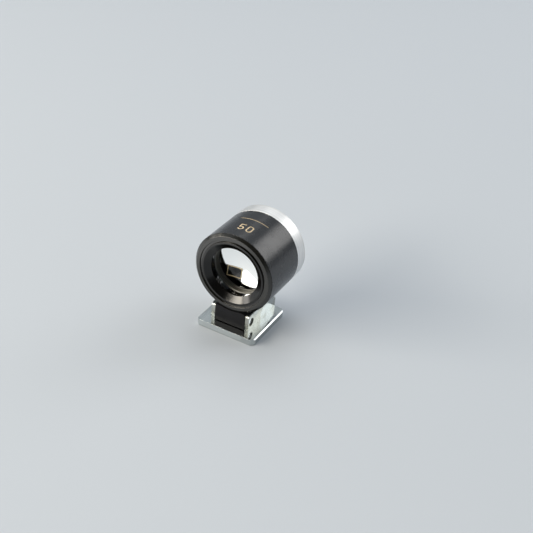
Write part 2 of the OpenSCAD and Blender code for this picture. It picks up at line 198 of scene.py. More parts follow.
def mathNode(tree, operation, a, b=None, c=None, clamp=False):
    node = tree.nodes.new("ShaderNodeMath")
    node.operation = operation
    node.use_clamp = clamp
    for index, value in enumerate((a, b, c)):
        if value is None:
            continue
        if isinstance(value, (int, float)):
            node.inputs[index].default_value = value
        else:
            tree.links.new(value, node.inputs[index])
    return node.outputs[0]


def mapRange(tree, value, low, high, toLow=0.0, toHigh=1.0):
    node = tree.nodes.new("ShaderNodeMapRange")
    node.interpolation_type = "SMOOTHSTEP"
    tree.links.new(value, node.inputs["Value"])
    for socketName, number in (("From Min", low), ("From Max", high), ("To Min", toLow), ("To Max", toHigh)):
        if isinstance(number, (int, float)):
            node.inputs[socketName].default_value = number
        else:
            tree.links.new(number, node.inputs[socketName])
    return node.outputs["Result"]


def makeTurningLines():
    # rings left by the lathe tool, round the optical axis
    group, start, end = newGroup(
        "turningLines",
        [("Pitch", "NodeSocketFloat", 6.0), ("Axis Height", "NodeSocketFloat", axisZ * mm)],
        [("Lines", "NodeSocketFloat"), ("Bands", "NodeSocketFloat")],
    )
    coords = group.nodes.new("ShaderNodeTexCoord")
    split = group.nodes.new("ShaderNodeSeparateXYZ")
    group.links.new(coords.outputs["Object"], split.inputs[0])
    fromAxis = mathNode(group, "SUBTRACT", split.outputs["Z"], start.outputs["Axis Height"])
    squareX = mathNode(group, "POWER", split.outputs["X"], 2)
    squareZ = mathNode(group, "POWER", fromAxis, 2)
    radius = mathNode(group, "SQRT", mathNode(group, "ADD", squareX, squareZ))
    # one measure that grows along the sides and across the faces
    travel = mathNode(group, "MULTIPLY_ADD", split.outputs["Y"], 1.31, radius)
    scaled = mathNode(group, "MULTIPLY", mathNode(group, "MULTIPLY", travel, 1000), start.outputs["Pitch"])
    fine = group.nodes.new("ShaderNodeTexNoise")
    fine.noise_dimensions = "1D"
    fine.inputs["Scale"].default_value = 1.0
    fine.inputs["Detail"].default_value = 3
    group.links.new(scaled, fine.inputs["W"])
    slow = group.nodes.new("ShaderNodeTexNoise")
    slow.noise_dimensions = "1D"
    slow.inputs["Scale"].default_value = 0.13
    slow.inputs["Detail"].default_value = 1
    group.links.new(scaled, slow.inputs["W"])
    group.links.new(fine.outputs[0], end.inputs["Lines"])
    group.links.new(slow.outputs[0], end.inputs["Bands"])
    return group


def makeHandling():
    # soft patches of finger grease and fine grain, both as masks
    group, start, end = newGroup(
        "handlingMarks",
        [("Patch Size", "NodeSocketFloat", 4.0), ("Grain Size", "NodeSocketFloat", 0.06)],
        [("Patches", "NodeSocketFloat"), ("Grain", "NodeSocketFloat")],
    )
    coords = group.nodes.new("ShaderNodeTexCoord")
    for label, source, detail in (("Patches", "Patch Size", 4), ("Grain", "Grain Size", 2)):
        noise = group.nodes.new("ShaderNodeTexNoise")
        noise.inputs["Detail"].default_value = detail
        group.links.new(coords.outputs["Object"], noise.inputs["Vector"])
        group.links.new(mathNode(group, "DIVIDE", 1000, start.outputs[source]), noise.inputs["Scale"])
        group.links.new(noise.outputs[0], end.inputs[label])
    return group


def makeDust():
    # sparse pale flecks that lie on the metal
    group, start, end = newGroup(
        "dustFlecks",
        [("Spacing", "NodeSocketFloat", 0.9), ("Amount", "NodeSocketFloat", 0.12)],
        [("Flecks", "NodeSocketFloat")],
    )
    coords = group.nodes.new("ShaderNodeTexCoord")
    cells = group.nodes.new("ShaderNodeTexVoronoi")
    group.links.new(coords.outputs["Object"], cells.inputs["Vector"])
    group.links.new(mathNode(group, "DIVIDE", 1000, start.outputs["Spacing"]), cells.inputs["Scale"])
    near = mapRange(group, cells.outputs["Distance"], 0.035, 0.02)
    pick = group.nodes.new("ShaderNodeSeparateColor")
    group.links.new(cells.outputs["Color"], pick.inputs[0])
    chosen = mathNode(group, "LESS_THAN", pick.outputs[0], start.outputs["Amount"])
    group.links.new(mathNode(group, "MULTIPLY", near, chosen), end.inputs["Flecks"])
    return group


def makeEdgeWear():
    # 1 on the rounded corners that rub in a bag, broken up by noise
    group, start, end = newGroup(
        "edgeWear",
        [("Amount", "NodeSocketFloat", 0.5), ("Break Up", "NodeSocketFloat", 0.45),
         ("Size", "NodeSocketFloat", 0.5)],
        [("Wear", "NodeSocketFloat")],
    )
    rim = group.nodes.new("ShaderNodeAttribute")
    rim.attribute_name = "rim"
    coords = group.nodes.new("ShaderNodeTexCoord")
    noise = group.nodes.new("ShaderNodeTexNoise")
    noise.inputs["Detail"].default_value = 5
    group.links.new(coords.outputs["Object"], noise.inputs["Vector"])
    group.links.new(mathNode(group, "DIVIDE", 1000, start.outputs["Size"]), noise.inputs["Scale"])
    upper = mathNode(group, "ADD", start.outputs["Break Up"], 0.18)
    broken = mapRange(group, noise.outputs[0], start.outputs["Break Up"], upper)
    worn = mathNode(group, "MULTIPLY", rim.outputs["Fac"], broken)
    group.links.new(mathNode(group, "MULTIPLY", worn, start.outputs["Amount"]), end.inputs["Wear"])
    return group


turningLines = makeTurningLines()
handlingMarks = makeHandling()
dustFlecks = makeDust()
edgeWear = makeEdgeWear()
print("shader groups made")


def shade(tone, factor):
    return tuple(min(1, c * factor) for c in tone)


class Finish:
    # one Principled material with the pieces that most finishes share
    def __init__(self, name, tone, roughness, metallic=0.0):
        self.material = bpy.data.materials.new(name)
        self.material.use_nodes = True
        self.tree = self.material.node_tree
        self.shader = self.tree.nodes["Principled BSDF"]
        self.shader.inputs["Base Color"].default_value = (*tone, 1)
        self.shader.inputs["Roughness"].default_value = roughness
        self.shader.inputs["Metallic"].default_value = metallic

    def group(self, tree, **values):
        node = self.tree.nodes.new("ShaderNodeGroup")
        node.node_tree = tree
        for name, value in values.items():
            node.inputs[name.replace("_", " ")].default_value = value
        return node

    def mixTone(self, mask, below, above):
        # below and above are colours or sockets
        mix = self.tree.nodes.new("ShaderNodeMix")
        mix.data_type = "RGBA"
        self.tree.links.new(mask, mix.inputs["Factor"])
        for socket, value in ((mix.inputs[6], below), (mix.inputs[7], above)):
            if isinstance(value, tuple):
                socket.default_value = (*value, 1)
            else:
                self.tree.links.new(value, socket)
        return mix.outputs[2]

    def dusted(self, base, share, tone, **values):
        flecks = self.group(dustFlecks, **values)
        return self.mixTone(mathNode(self.tree, "MULTIPLY", flecks.outputs["Flecks"], share), base, tone)

    def bump(self, height, strength, distance):
        node = self.tree.nodes.new("ShaderNodeBump")
        node.inputs["Strength"].default_value = strength
        node.inputs["Distance"].default_value = distance
        self.tree.links.new(height, node.inputs["Height"])
        self.tree.links.new(node.outputs[0], self.shader.inputs["Normal"])

    def feed(self, socketName, output):
        self.tree.links.new(output, self.shader.inputs[socketName])


# pitch is rings per mm, depth is the height of their bump in metres
turnedFinishes = {
    "barrelBlack": {
        "tone": (0.0080, 0.0090, 0.0125), "worn": (0.07, 0.07, 0.075), "roughness": 0.25, "spread": 0.025,
        "pitch": 9.0, "depth": 0.000006, "specular": 0.66, "dust": 0.07},
    "bezelBlack": {
        "tone": (0.0085, 0.0080, 0.0062), "worn": (0.09, 0.085, 0.07), "roughness": 0.15, "spread": 0.03,
        "pitch": 7.0, "depth": 0.000008, "specular": 0.70},
    "coneBlack": {
        "tone": (0.0022, 0.0020, 0.0019), "worn": (0.06, 0.055, 0.05), "roughness": 0.15, "spread": 0.03,
        "pitch": 5.0, "depth": 0.000005, "specular": 0.42},
    "ridgeBlack": {
        "tone": (0.0620, 0.0580, 0.0420), "worn": (0.20, 0.18, 0.12), "roughness": 0.36, "spread": 0.05,
        "pitch": 6.0, "depth": 0.000012, "specular": 0.9, "dust": 0.2},
    "innerBlack": {
        "tone": (0.0200, 0.0200, 0.0205), "worn": (0.05, 0.05, 0.05), "roughness": 0.58, "spread": 0.06,
        "pitch": 4.0, "depth": 0.000015},
    "eyepieceBlack": {
        "tone": (0.0105, 0.0105, 0.0115), "worn": (0.10, 0.10, 0.10), "roughness": 0.30, "spread": 0.05,
        "pitch": 8.0, "depth": 0.000010},
    "satinChrome": {
        "tone": (0.91, 0.905, 0.89), "worn": (0.96, 0.96, 0.95), "roughness": 0.46, "spread": 0.05,
        "pitch": 10.0, "depth": 0.000006, "metallic": 1.0, "dust": 0.05, "wear": 0.5},
}


def turnedMetal(name):
    return makeTurnedMetal(name, **turnedFinishes[name])


def makeTurnedMetal(name, tone, worn, roughness, spread, pitch, depth,
                    metallic=0.0, specular=0.5, dust=0.08, wear=0.35):
    # anodised or plated metal off the lathe: rings, smudges, rubbed edges and a little dust
    f = Finish(name, tone, roughness, metallic)
    f.shader.inputs["Specular IOR Level"].default_value = specular
    lines = f.group(turningLines, Pitch=pitch)
    hands = f.group(handlingMarks, Patch_Size=3.5, Grain_Size=0.05)
    rubbed = f.group(edgeWear, Amount=wear)
    base = f.mixTone(lines.outputs["Bands"], shade(tone, 0.72), shade(tone, 1.22))
    base = f.mixTone(rubbed.outputs["Wear"], base, worn)
    base = f.dusted(base, 0.35, (0.45, 0.46, 0.47), Spacing=0.8, Amount=dust)
    f.feed("Base Color", base)
    rough = mapRange(f.tree, hands.outputs["Patches"], 0.35, 0.65, roughness - spread, roughness + spread)
    rough = mathNode(f.tree, "MULTIPLY_ADD", lines.outputs["Lines"], spread * 0.8, rough, clamp=True)
    f.feed("Roughness", rough)
    height = mathNode(f.tree, "MULTIPLY_ADD", hands.outputs["Grain"], 0.35, lines.outputs["Lines"])
    f.bump(height, 0.5, depth)
    return f.material


def stemBlack():
    # milled, not turned: fine grain only
    f = Finish("stemBlack", (0.0070, 0.0072, 0.0085), 0.38)
    f.shader.inputs["Specular IOR Level"].default_value = 0.18
    hands = f.group(handlingMarks, Patch_Size=2.5, Grain_Size=0.07)
    # the rim mask is pushed up and given a light colour: partly real wear on the edges and partly a painted
    # highlight along the bevels
    rubbed = f.group(edgeWear, Amount=0.9, Break_Up=0.30)
    base = f.mixTone(hands.outputs["Patches"], (0.005, 0.005, 0.006), (0.009, 0.009, 0.011))
    base = f.mixTone(rubbed.outputs["Wear"], base, (0.16, 0.16, 0.165))
    base = f.dusted(base, 0.3, (0.4, 0.4, 0.4), Spacing=0.7, Amount=0.14)
    f.feed("Base Color", base)
    f.feed("Roughness", mapRange(f.tree, hands.outputs["Patches"], 0.3, 0.7, 0.36, 0.43))
    f.bump(hands.outputs["Grain"], 0.5, 0.000014)
    return f.material


# tone, roughness, depth of the long waves, depth of the scratches, tone of the painted shade patches if any
platedFinishes = {
    "footChrome": ((0.53, 0.565, 0.57), 0.12, 0.5, 0.3),
    "earChrome": ((0.45, 0.475, 0.465), 0.24, 0.5, 0.3, (0.385, 0.39, 0.345)),
    "screwSteel": ((0.52, 0.53, 0.54), 0.26, 0.6, 0.5),
    "springSteel": ((0.40, 0.41, 0.43), 0.30, 0.5, 0.4),
    "washerBronze": ((0.48, 0.36, 0.20), 0.35, 0.5, 0.5),
}


def platedMetal(name):
    return makePlatedMetal(name, *platedFinishes[name])


def makePlatedMetal(name, tone, roughness, waviness, scratchDepth, paintedShade=None):
    # nickel-chrome plate over brass: long waves, hairline scratches, greasy patches in the roughness, and
    # painted shade patches where a shade tone is given
    f = Finish(name, tone, roughness, 1.0)
    hands = f.group(handlingMarks, Patch_Size=3.0, Grain_Size=0.9)
    coords = f.tree.nodes.new("ShaderNodeTexCoord")
    stretch = f.tree.nodes.new("ShaderNodeMapping")
    stretch.inputs["Scale"].default_value = (5200, 260, 5200)
    stretch.inputs["Rotation"].default_value = (0, 0, 0.12)
    f.tree.links.new(coords.outputs["Object"], stretch.inputs["Vector"])
    hair = f.tree.nodes.new("ShaderNodeTexNoise")
    hair.inputs["Scale"].default_value = 1.0
    hair.inputs["Detail"].default_value = 2
    f.tree.links.new(stretch.outputs[0], hair.inputs["Vector"])
    scratches = mapRange(f.tree, hair.outputs[0], 0.60, 0.72)
    base = f.mixTone(hands.outputs["Patches"], shade(tone, 0.96), shade(tone, 1.03))
    # where a shade tone is given, darker olive patches are laid over the colour at random: painted shade, not
    # grease
    if paintedShade:
        film = f.group(handlingMarks, Patch_Size=6.5)
        base = f.mixTone(mapRange(f.tree, film.outputs["Patches"], 0.48, 0.62), base, paintedShade)
    base = f.dusted(base, 0.5, (0.35, 0.35, 0.35), Spacing=0.9, Amount=0.12)
    f.feed("Base Color", base)
    rough = mapRange(f.tree, hands.outputs["Patches"], 0.35, 0.70, roughness * 0.85, roughness * 1.3)
    f.feed("Roughness", mathNode(f.tree, "MULTIPLY_ADD", scratches, 0.12, rough, clamp=True))
    grooves = mathNode(f.tree, "MULTIPLY", scratches, -scratchDepth)
    height = mathNode(f.tree, "MULTIPLY_ADD", hands.outputs["Grain"], waviness, grooves)
    f.bump(height, 1.0, 0.00001)
    return f.material


def goldPaint(name, tone, roughness, metallic=0.0):
    # enamel wiped into the engraving
    f = Finish(name, tone, roughness, metallic)
    hands = f.group(handlingMarks, Patch_Size=0.5, Grain_Size=0.05)
    base = f.mixTone(hands.outputs["Patches"], shade(tone, 0.8), shade(tone, 1.15))
    f.feed("Base Color", base)
    f.feed("Roughness", mapRange(f.tree, hands.outputs["Grain"], 0.3, 0.7, roughness - 0.08, roughness + 0.1))
    f.bump(hands.outputs["Grain"], 0.4, 0.00001)
    return f.material


def lensGlass(name, tone, index):
    f = Finish(name, tone, 0.02)
    f.shader.inputs["Transmission Weight"].default_value = 1.0
    f.shader.inputs["IOR"].default_value = index
    hands = f.group(handlingMarks, Patch_Size=2.2, Grain_Size=0.3)
    f.feed("Roughness", mapRange(f.tree, hands.outputs["Patches"], 0.45, 0.75, 0.0, 0.035))
    return f.material


def filmMirror():
    # thin vacuum coat: cool at the middle, warmer where it thins out
    f = Finish("filmMirror", (0.95, 0.96, 0.96), 0.03, 1.0)
    hands = f.group(handlingMarks, Patch_Size=5.0, Grain_Size=0.25)
    f.feed("Base Color", f.mixTone(hands.outputs["Patches"], (0.93, 0.97, 0.99), (0.99, 0.985, 0.96)))
    f.feed("Roughness", mapRange(f.tree, hands.outputs["Grain"], 0.4, 0.8, 0.015, 0.06))
    return f.material


# everything below is modelled in millimetres and scaled to metres when a piece is placed
def roundedOutline(points, arcSteps=4):
    # points are (radius, along, fillet) round a closed section; each corner becomes a small arc
    result = []
    count = len(points)
    for i, (r, y, fillet) in enumerate(points):
        here = Vector((r, y))
        arrive = here - Vector(points[i - 1][:2])
        leave = Vector(points[(i + 1) % count][:2]) - here
        room = 0.48 * min(arrive.length, leave.length)
        arrive.normalize()
        leave.normalize()
        turn = abs(arrive.angle(leave))
        if fillet <= 0 or turn < 0.02:
            result.append((r, y))
            continue
        cut = min(fillet * math.tan(turn / 2), room)
        start, end = here - arrive * cut, here + leave * cut
        steps = max(2, round(arcSteps * turn / (math.pi / 2)))
        inward = (leave - arrive).normalized()
        radius = cut / math.tan(turn / 2)
        centre = here + inward * math.hypot(radius, cut)
        first, last = start - centre, end - centre
        for k in range(steps + 1):
            arm = first.slerp(last, k / steps) * first.length
            result.append(tuple(centre + arm))
    return result


def latheMesh(name, outline, steps):
    # revolves a closed section about the +Y axis
    build = bmesh.new()
    rows = []
    for r, y in outline:
        if r < 1e-5:
            rows.append([build.verts.new((0, y, 0))])
            continue
        angles = [2 * math.pi * k / steps for k in range(steps)]
        rows.append([build.verts.new((r * math.sin(a), y, r * math.cos(a))) for a in angles])
    for i, near in enumerate(rows):
        far = rows[(i + 1) % len(rows)]
        if len(near) == 1 and len(far) == 1:
            continue
        for k in range(steps):
            m = (k + 1) % steps
            corners = [near[k % len(near)], near[m % len(near)], far[m % len(far)], far[k % len(far)]]
            build.faces.new(list(dict.fromkeys(corners)))
    return meshPiece(name, build)


def meshPiece(name, build):
    bmesh.ops.recalc_face_normals(build, faces=build.faces)
    mesh = bpy.data.meshes.new(name)
    build.to_mesh(mesh)
    build.free()
    return linked(name, mesh)


def smoothTurned(piece, limit=32):
    # shading normals taken from the true turned surface, so cuts leave no facets beside them
    mesh = piece.data
    corners = [[] for _ in mesh.vertices]
    own = {}
    for face in mesh.polygons:
        face.use_smooth = True
        n, c = face.normal, face.center
        reach = math.hypot(c.x, c.z)
        outward = Vector((c.x, 0, c.z)) / reach if reach > 1e-6 else Vector((0, 0, 1))
        across = n.x * outward.z - n.z * outward.x
        lift = n.dot(outward)
        for loop in face.loop_indices:
            index = mesh.loops[loop].vertex_index
            normal = n.copy()
            if abs(across) < 0.05:
                p = mesh.vertices[index].co
                away = math.hypot(p.x, p.z)
                radial = Vector((p.x, 0, p.z)) / away if away > 1e-6 else Vector((0, 0, 0))
                normal = (radial * lift + Vector((0, n.y, 0))).normalized()
            own[loop] = normal
            corners[index].append((normal, face.area))
    cosLimit = math.cos(math.radians(limit))
    normals = [Vector((0, 0, 1))] * len(mesh.loops)
    for loop, normal in own.items():
        total = Vector((0, 0, 0))
        for other, area in corners[mesh.loops[loop].vertex_index]:
            if normal.dot(other) > cosLimit:
                total += other * area
        normals[loop] = total.normalized() if total.length > 0 else normal
    mesh.normals_split_custom_set(normals)
    narrow = []
    for face in mesh.polygons:
        spots = [mesh.vertices[v].co for v in face.vertices]
        reach = [math.hypot(p.x, p.z) for p in spots]
        along = [p.y for p in spots]
        narrow.append(math.hypot(max(reach) - min(reach), max(along) - min(along)) < 0.09)
    tagRims(mesh, narrow)


def applied(piece):
    graph = bpy.context.evaluated_depsgraph_get()
    mesh = bpy.data.meshes.new_from_object(piece.evaluated_get(graph), depsgraph=graph)
    piece.modifiers.clear()
    piece.data = mesh
    return piece


def shaped(piece, cutters=(), joined=()):
    # joins and cuts with other solids, which are then thrown away
    for kind, tools in (("UNION", joined), ("DIFFERENCE", cutters)):
        for tool in tools:
            step = piece.modifiers.new("shape", "BOOLEAN")
            step.operation = kind
            step.solver = "EXACT"
            step.object = tool
    applied(piece)
    for tool in (*cutters, *joined):
        bpy.data.objects.remove(tool)
    return piece


def prism(name, outline, axis, low, high):
    # straight extrusion of a flat outline along axis 0, 1 or 2
    build = bmesh.new()
    rings = []
    for level in (low, high):
        places = [{0: (level, a, b), 1: (a, level, b), 2: (a, b, level)}[axis] for a, b in outline]
        rings.append([build.verts.new(p) for p in places])
    build.faces.new(rings[0])
    build.faces.new(rings[1])
    for i in range(len(outline)):
        j = (i + 1) % len(outline)
        build.faces.new((rings[0][i], rings[0][j], rings[1][j], rings[1][i]))
    return meshPiece(name, build)


def boxCutter(low, high):
    outline = [(low[0], low[1]), (high[0], low[1]), (high[0], high[1]), (low[0], high[1])]
    return prism("cutter", outline, 2, low[2], high[2])


def rodCutter(centre, radius, axis, low, high, sides=72):
    turn = [2 * math.pi * k / sides for k in range(sides)]
    outline = [(centre[0] + radius * math.cos(a), centre[1] + radius * math.sin(a)) for a in turn]
    return prism("cutter", outline, axis, low, high)


def tagRims(mesh, flags):
    # remembers which faces belong to a rounded corner, for the edge wear
    rim = mesh.attributes.new("rim", "FLOAT", "CORNER")
    values = [0.0] * len(mesh.loops)
    for face, flag in zip(mesh.polygons, flags):
        for loop in face.loop_indices:
            values[loop] = float(flag)
    rim.data.foreach_set("value", values)


def softEdges(piece, width, segments=3, angle=30):
    for face in piece.data.polygons:
        face.use_smooth = True
    piece.data.materials.clear()
    piece.data.materials.append(None)
    piece.data.materials.append(None)
    step = piece.modifiers.new("edges", "BEVEL")
    step.width = width
    step.segments = segments
    step.limit_method = "ANGLE"
    step.angle_limit = math.radians(angle)
    step.harden_normals = True
    step.use_clamp_overlap = True
    step.material = 1
    applied(piece)
    tagRims(piece.data, [face.material_index == 1 for face in piece.data.polygons])
    return piece


def placed(piece, body, material, standsFor=(), move=None):
    # takes the finished millimetre mesh to metres and hands it to its body
    matrix = Matrix.Scale(mm, 4) @ (move or Matrix.Identity(4))
    piece.data.transform(matrix)
    piece.data.materials.clear()
    piece.data.materials.append(material)
    for face in piece.data.polygons:
        face.material_index = 0
    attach(piece, body)
    if standsFor:
        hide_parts(*standsFor)
    return piece


onAxis = Matrix.Translation((0, 0, axisZ))


def turnedPiece(name, points, body, material, standsFor=(), cutters=(), move=onAxis, steps=224):
    piece = latheMesh(name, roundedOutline(points), steps)
    if cutters:
        shaped(piece, cutters)
    smoothTurned(piece)
    return placed(piece, body, material, standsFor, move)


bezel = {"chamfer": 0.77, "boreR": 10.25, "grooveDepth": 0.4, "spigotR": 10.9, "seat": 4.0}
cone = {"outerR": 9.6, "faceR": 9.02, "apertureR": 7.3, "backDepth": 0.48, "land": 0.35, "innerR": 7.75,
        "end": 2.9}
ridges = {"radius": 7.5, "depth": 0.46, "pitch": 0.62, "count": 3, "first": 0.25, "land": 0.10, "slope": 0.22,
          "floor": 0.5, "collarR": 9.0}
tube = {"boreR": 10.4, "spigotR": 11.1, "spigot": 2.3, "seam": 0.05}
marks = {"height": 3.1, "width": 1.75, "gap": 0.75, "stroke": 0.42, "lineStroke": 0.30, "start": 3.35,
         "line": 9.75, "lineLength": 8.4, "depth": 0.12, "paint": 0.06, "shift": 0.15}


def figureStrokes():
    # centre lines of the figures 5 and 0 and of the plain line behind them, laid flat
    w, h, s = marks["width"], marks["height"], marks["stroke"] / 2
    left = -w - marks["gap"] / 2 + marks["shift"]
    bowlR = w / 2 - s
    bowl = [(left + w / 2 + bowlR * math.cos(a), marks["start"] + s + bowlR * (1 + math.sin(a)) * 1.12)
            for a in [math.radians(138 - 288 * k / 40) for k in range(41)]]
    top = marks["start"] + h - s
    stemX = left + 0.30
    thick = marks["stroke"]
    strokes = [(bowl, False, thick), ([(stemX, top), (stemX, bowl[0][1] - 0.02)], False, thick),
               ([(stemX, top), (left + w - 0.22, top)], False, thick)]
    middle = left + w + marks["gap"] + w / 2
    straight = h - w
    zero = []
    for k in range(64):
        a = 2 * math.pi * k / 64
        rise = straight / 2 if math.sin(a) >= 0 else -straight / 2
        zero.append((middle + bowlR * math.cos(a), marks["start"] + h / 2 + rise + bowlR * math.sin(a)))
    strokes.append((zero, True, thick))
    half = marks["lineLength"] / 2
    line = [(half * (2 * k / 60 - 1) + marks["shift"], marks["line"]) for k in range(61)]
    strokes.append((line, False, marks["lineStroke"]))
    return strokes


def strokeSolid(path, closed, width, lowR, highR):
    # ribbon with round ends, bent over the top of the barrel
    count = len(path)
    rows = []
    for i, point in enumerate(path):
        here = Vector(point)
        before = Vector(path[i - 1]) if closed or i else here
        after = Vector(path[(i + 1) % count]) if closed or i < count - 1 else here
        run = (after - before).normalized()
        rows.append((here, run, width / 2))
    if not closed:
        rounding = [math.radians(a) for a in (22.5, 45, 67.5, 86)]
        (first, firstRun, half), (last, lastRun, _) = rows[0], rows[-1]
        nose = [(first - firstRun * half * math.sin(a), firstRun, half * math.cos(a)) for a in rounding[::-1]]
        tail = [(last + lastRun * half * math.sin(a), lastRun, half * math.cos(a)) for a in rounding]
        rows = nose + rows + tail
    build = bmesh.new()
    rings = []
    for here, run, half in rows:
        side = Vector((-run.y, run.x)) * half
        ring = []
        for sign, r in ((-1, lowR), (1, lowR), (1, highR), (-1, highR)):
            p = here + side * sign
            ring.append(build.verts.new((p.x, p.y + frontEnd, math.sqrt(r * r - p.x * p.x))))
        rings.append(ring)
    for i in range(len(rings) if closed else len(rings) - 1):
        near, far = rings[i], rings[(i + 1) % len(rings)]
        for k in range(4):
            m = (k + 1) % 4
            build.faces.new((near[k], near[m], far[m], far[k]))
    if not closed:
        build.faces.new(rings[0])
        build.faces.new(rings[-1])
    return meshPiece("stroke", build)


def makeBarrel():
    end = shellEnd + tube["spigot"]
    strokes = figureStrokes()
    floorR = barrelR - marks["depth"]
    cutters = [strokeSolid(path, closed, width, floorR, barrelR + 0.5) for path, closed, width in strokes]
    turnedPiece("barrelTube", [
        (tube["boreR"], frontEnd + bezel["seat"], 0.05), (bezel["spigotR"], frontEnd + bezel["seat"], 0.05),
        (bezel["spigotR"], frontEnd, 0.02), (barrelR, frontEnd, 0.04),
        (barrelR, shellEnd - tube["seam"], 0.07), (tube["spigotR"] + 0.3, shellEnd - tube["seam"], 0.02),
        (tube["spigotR"] + 0.3, shellEnd, 0), (tube["spigotR"], shellEnd, 0),
        (tube["spigotR"], end, 0.05), (tube["boreR"], end, 0.05),
    ], "finder", turnedMetal("barrelBlack"), ["barrel_shell"], cutters, steps=288)
    gold = goldPaint("goldFigures", (1.0, 0.72, 0.46), 0.45)
    paintR = barrelR - marks["paint"]
    fills = (("figureFifty", strokes[:4], "figure_inlay"), ("plainLine", strokes[4:], "line_inlay"))
    for name, group, node in fills:
        parts = []
        for k, (path, closed, width) in enumerate(group):
            step = 0.003 * k  # strokes that cross never share a face
            parts.append(strokeSolid(path, closed, width - 0.015 - step, floorR - 0.03 - step, paintR - step))
        piece = parts[0]
        piece.name = name
        if len(parts) > 1:
            shaped(piece, (), parts[1:])
        softEdges(piece, 0.03, 2, 50)
        placed(piece, "finder", gold, [node], onAxis)


def makeBezel():
    face = frontEnd - bezel["chamfer"]
    seat = frontEnd + bezel["seat"] - 0.1
    floor = face + bezel["grooveDepth"]
    turnedPiece("frontBezel", [
        (bezel["boreR"], face, 0.10), (barrelR - bezel["chamfer"], face, 0.13),
        (barrelR, frontEnd - 0.03, 0.06),
        (bezel["spigotR"], frontEnd - 0.03, 0.02), (bezel["spigotR"], seat, 0.05),
        (cone["outerR"], seat, 0.05), (cone["outerR"], floor, 0.02), (bezel["boreR"], floor, 0.08),
    ], "finder", turnedMetal("bezelBlack"), ["front_bezel"])


def makeConeRing():
    face = frontEnd - bezel["chamfer"]
    lip = frontEnd + cone["backDepth"]
    turnedPiece("coneRing", [
        (cone["apertureR"], lip, 0.06), (cone["apertureR"], lip + cone["land"], 0.05),
        (cone["innerR"], lip + cone["land"] + 0.4, 0.1), (cone["innerR"], frontEnd + cone["end"], 0.05),
        (cone["outerR"], frontEnd + cone["end"], 0.05), (cone["outerR"], face, 0.10),
        (cone["faceR"], face, 0.07),
    ], "finder", turnedMetal("coneBlack"), ["cone_ring"])


def makeRidgedTube():
    start = frontEnd + cone["end"]
    rear = boxMm("ridged_tube")[1][1]
    seat = frontEnd + bezel["seat"]
    r, deep = ridges["radius"], ridges["radius"] + ridges["depth"]
    points = [(ridges["collarR"], rear, 0.05), (ridges["collarR"], seat, 0.03), (cone["outerR"], seat, 0.03),
              (cone["outerR"], start, 0.05), (deep, start, 0.03)]
    for i in range(ridges["count"]):
        y = start + ridges["first"] + i * ridges["pitch"]
        points += [(r, y, 0.03), (r, y + ridges["land"], 0.03)]
        points += [(deep, y + ridges["slope"], 0.04), (deep, y + ridges["floor"], 0.04)]
    points.append((r, rear, 0.05))
    turnedPiece("ridgedTube", points, "finder", turnedMetal("ridgeBlack"), ["ridged_tube"])


rearRing = {"edge": 0.35, "openingR": 8.2, "lip": 0.5, "screwR": 0.7, "screwAt": 1.2}
eyepiece = {"lensR": 5.6, "front": 16.1, "thick": 1.7, "curve": 16.0, "cellFront": 15.5, "cellRear": 18.3,
            "ringRear": 18.9, "eyeR": 4.5, "slot": 0.7}


def makeRearRing():
    end = shellEnd + tube["spigot"]
    screwY = shellEnd + rearRing["screwAt"]
    cut = rodCutter((0, screwY), rearRing["screwR"], 2, -barrelR - 1, -tube["spigotR"] + 0.3)
    turnedPiece("rearRing", [
        (tube["spigotR"], shellEnd, 0.03), (barrelR, shellEnd, 0.10),
        (barrelR, rearEnd - rearRing["edge"], 0.14),
        (barrelR - rearRing["edge"], rearEnd, 0.14), (rearRing["openingR"] + rearRing["lip"], rearEnd, 0.14),
        (rearRing["openingR"], rearEnd - rearRing["lip"], 0.12), (rearRing["openingR"], end + 0.6, 0.03),
        (tube["boreR"], end + 0.6, 0.03), (tube["boreR"], end, 0.02), (tube["spigotR"], end, 0.02),
    ], "finder", turnedMetal("satinChrome"), ["rear_ring"], [cut], steps=288)


def screwTurn(x, y, z, angle=0.0):
    # stands a screw upright with its head down, turned by an angle about its own axis
    upright = Matrix.Translation((x, y, z)) @ Matrix.Rotation(math.pi / 2, 4, "X")
    return upright @ Matrix.Rotation(angle, 4, "Y")


def slottedScrew(name, headR, stemR, headT, length, slotW, slotDepth, body, material, standsFor, move):
    # the head faces -Y before it is turned into place
    points = [(0, 0, 0), (headR * 0.55, 0.0, 0.3), (headR, 0.10, 0.10), (headR, headT, 0.04)]
    if stemR < headR:
        points.append((stemR, headT, 0.03))
    points += [(stemR, length, 0.12), (0, length, 0)]
    slotCut = boxCutter((-slotW / 2, -1, -headR - 1), (slotW / 2, slotDepth, headR + 1))
    turnedPiece(name, points, body, material, standsFor, [slotCut], move, 64)


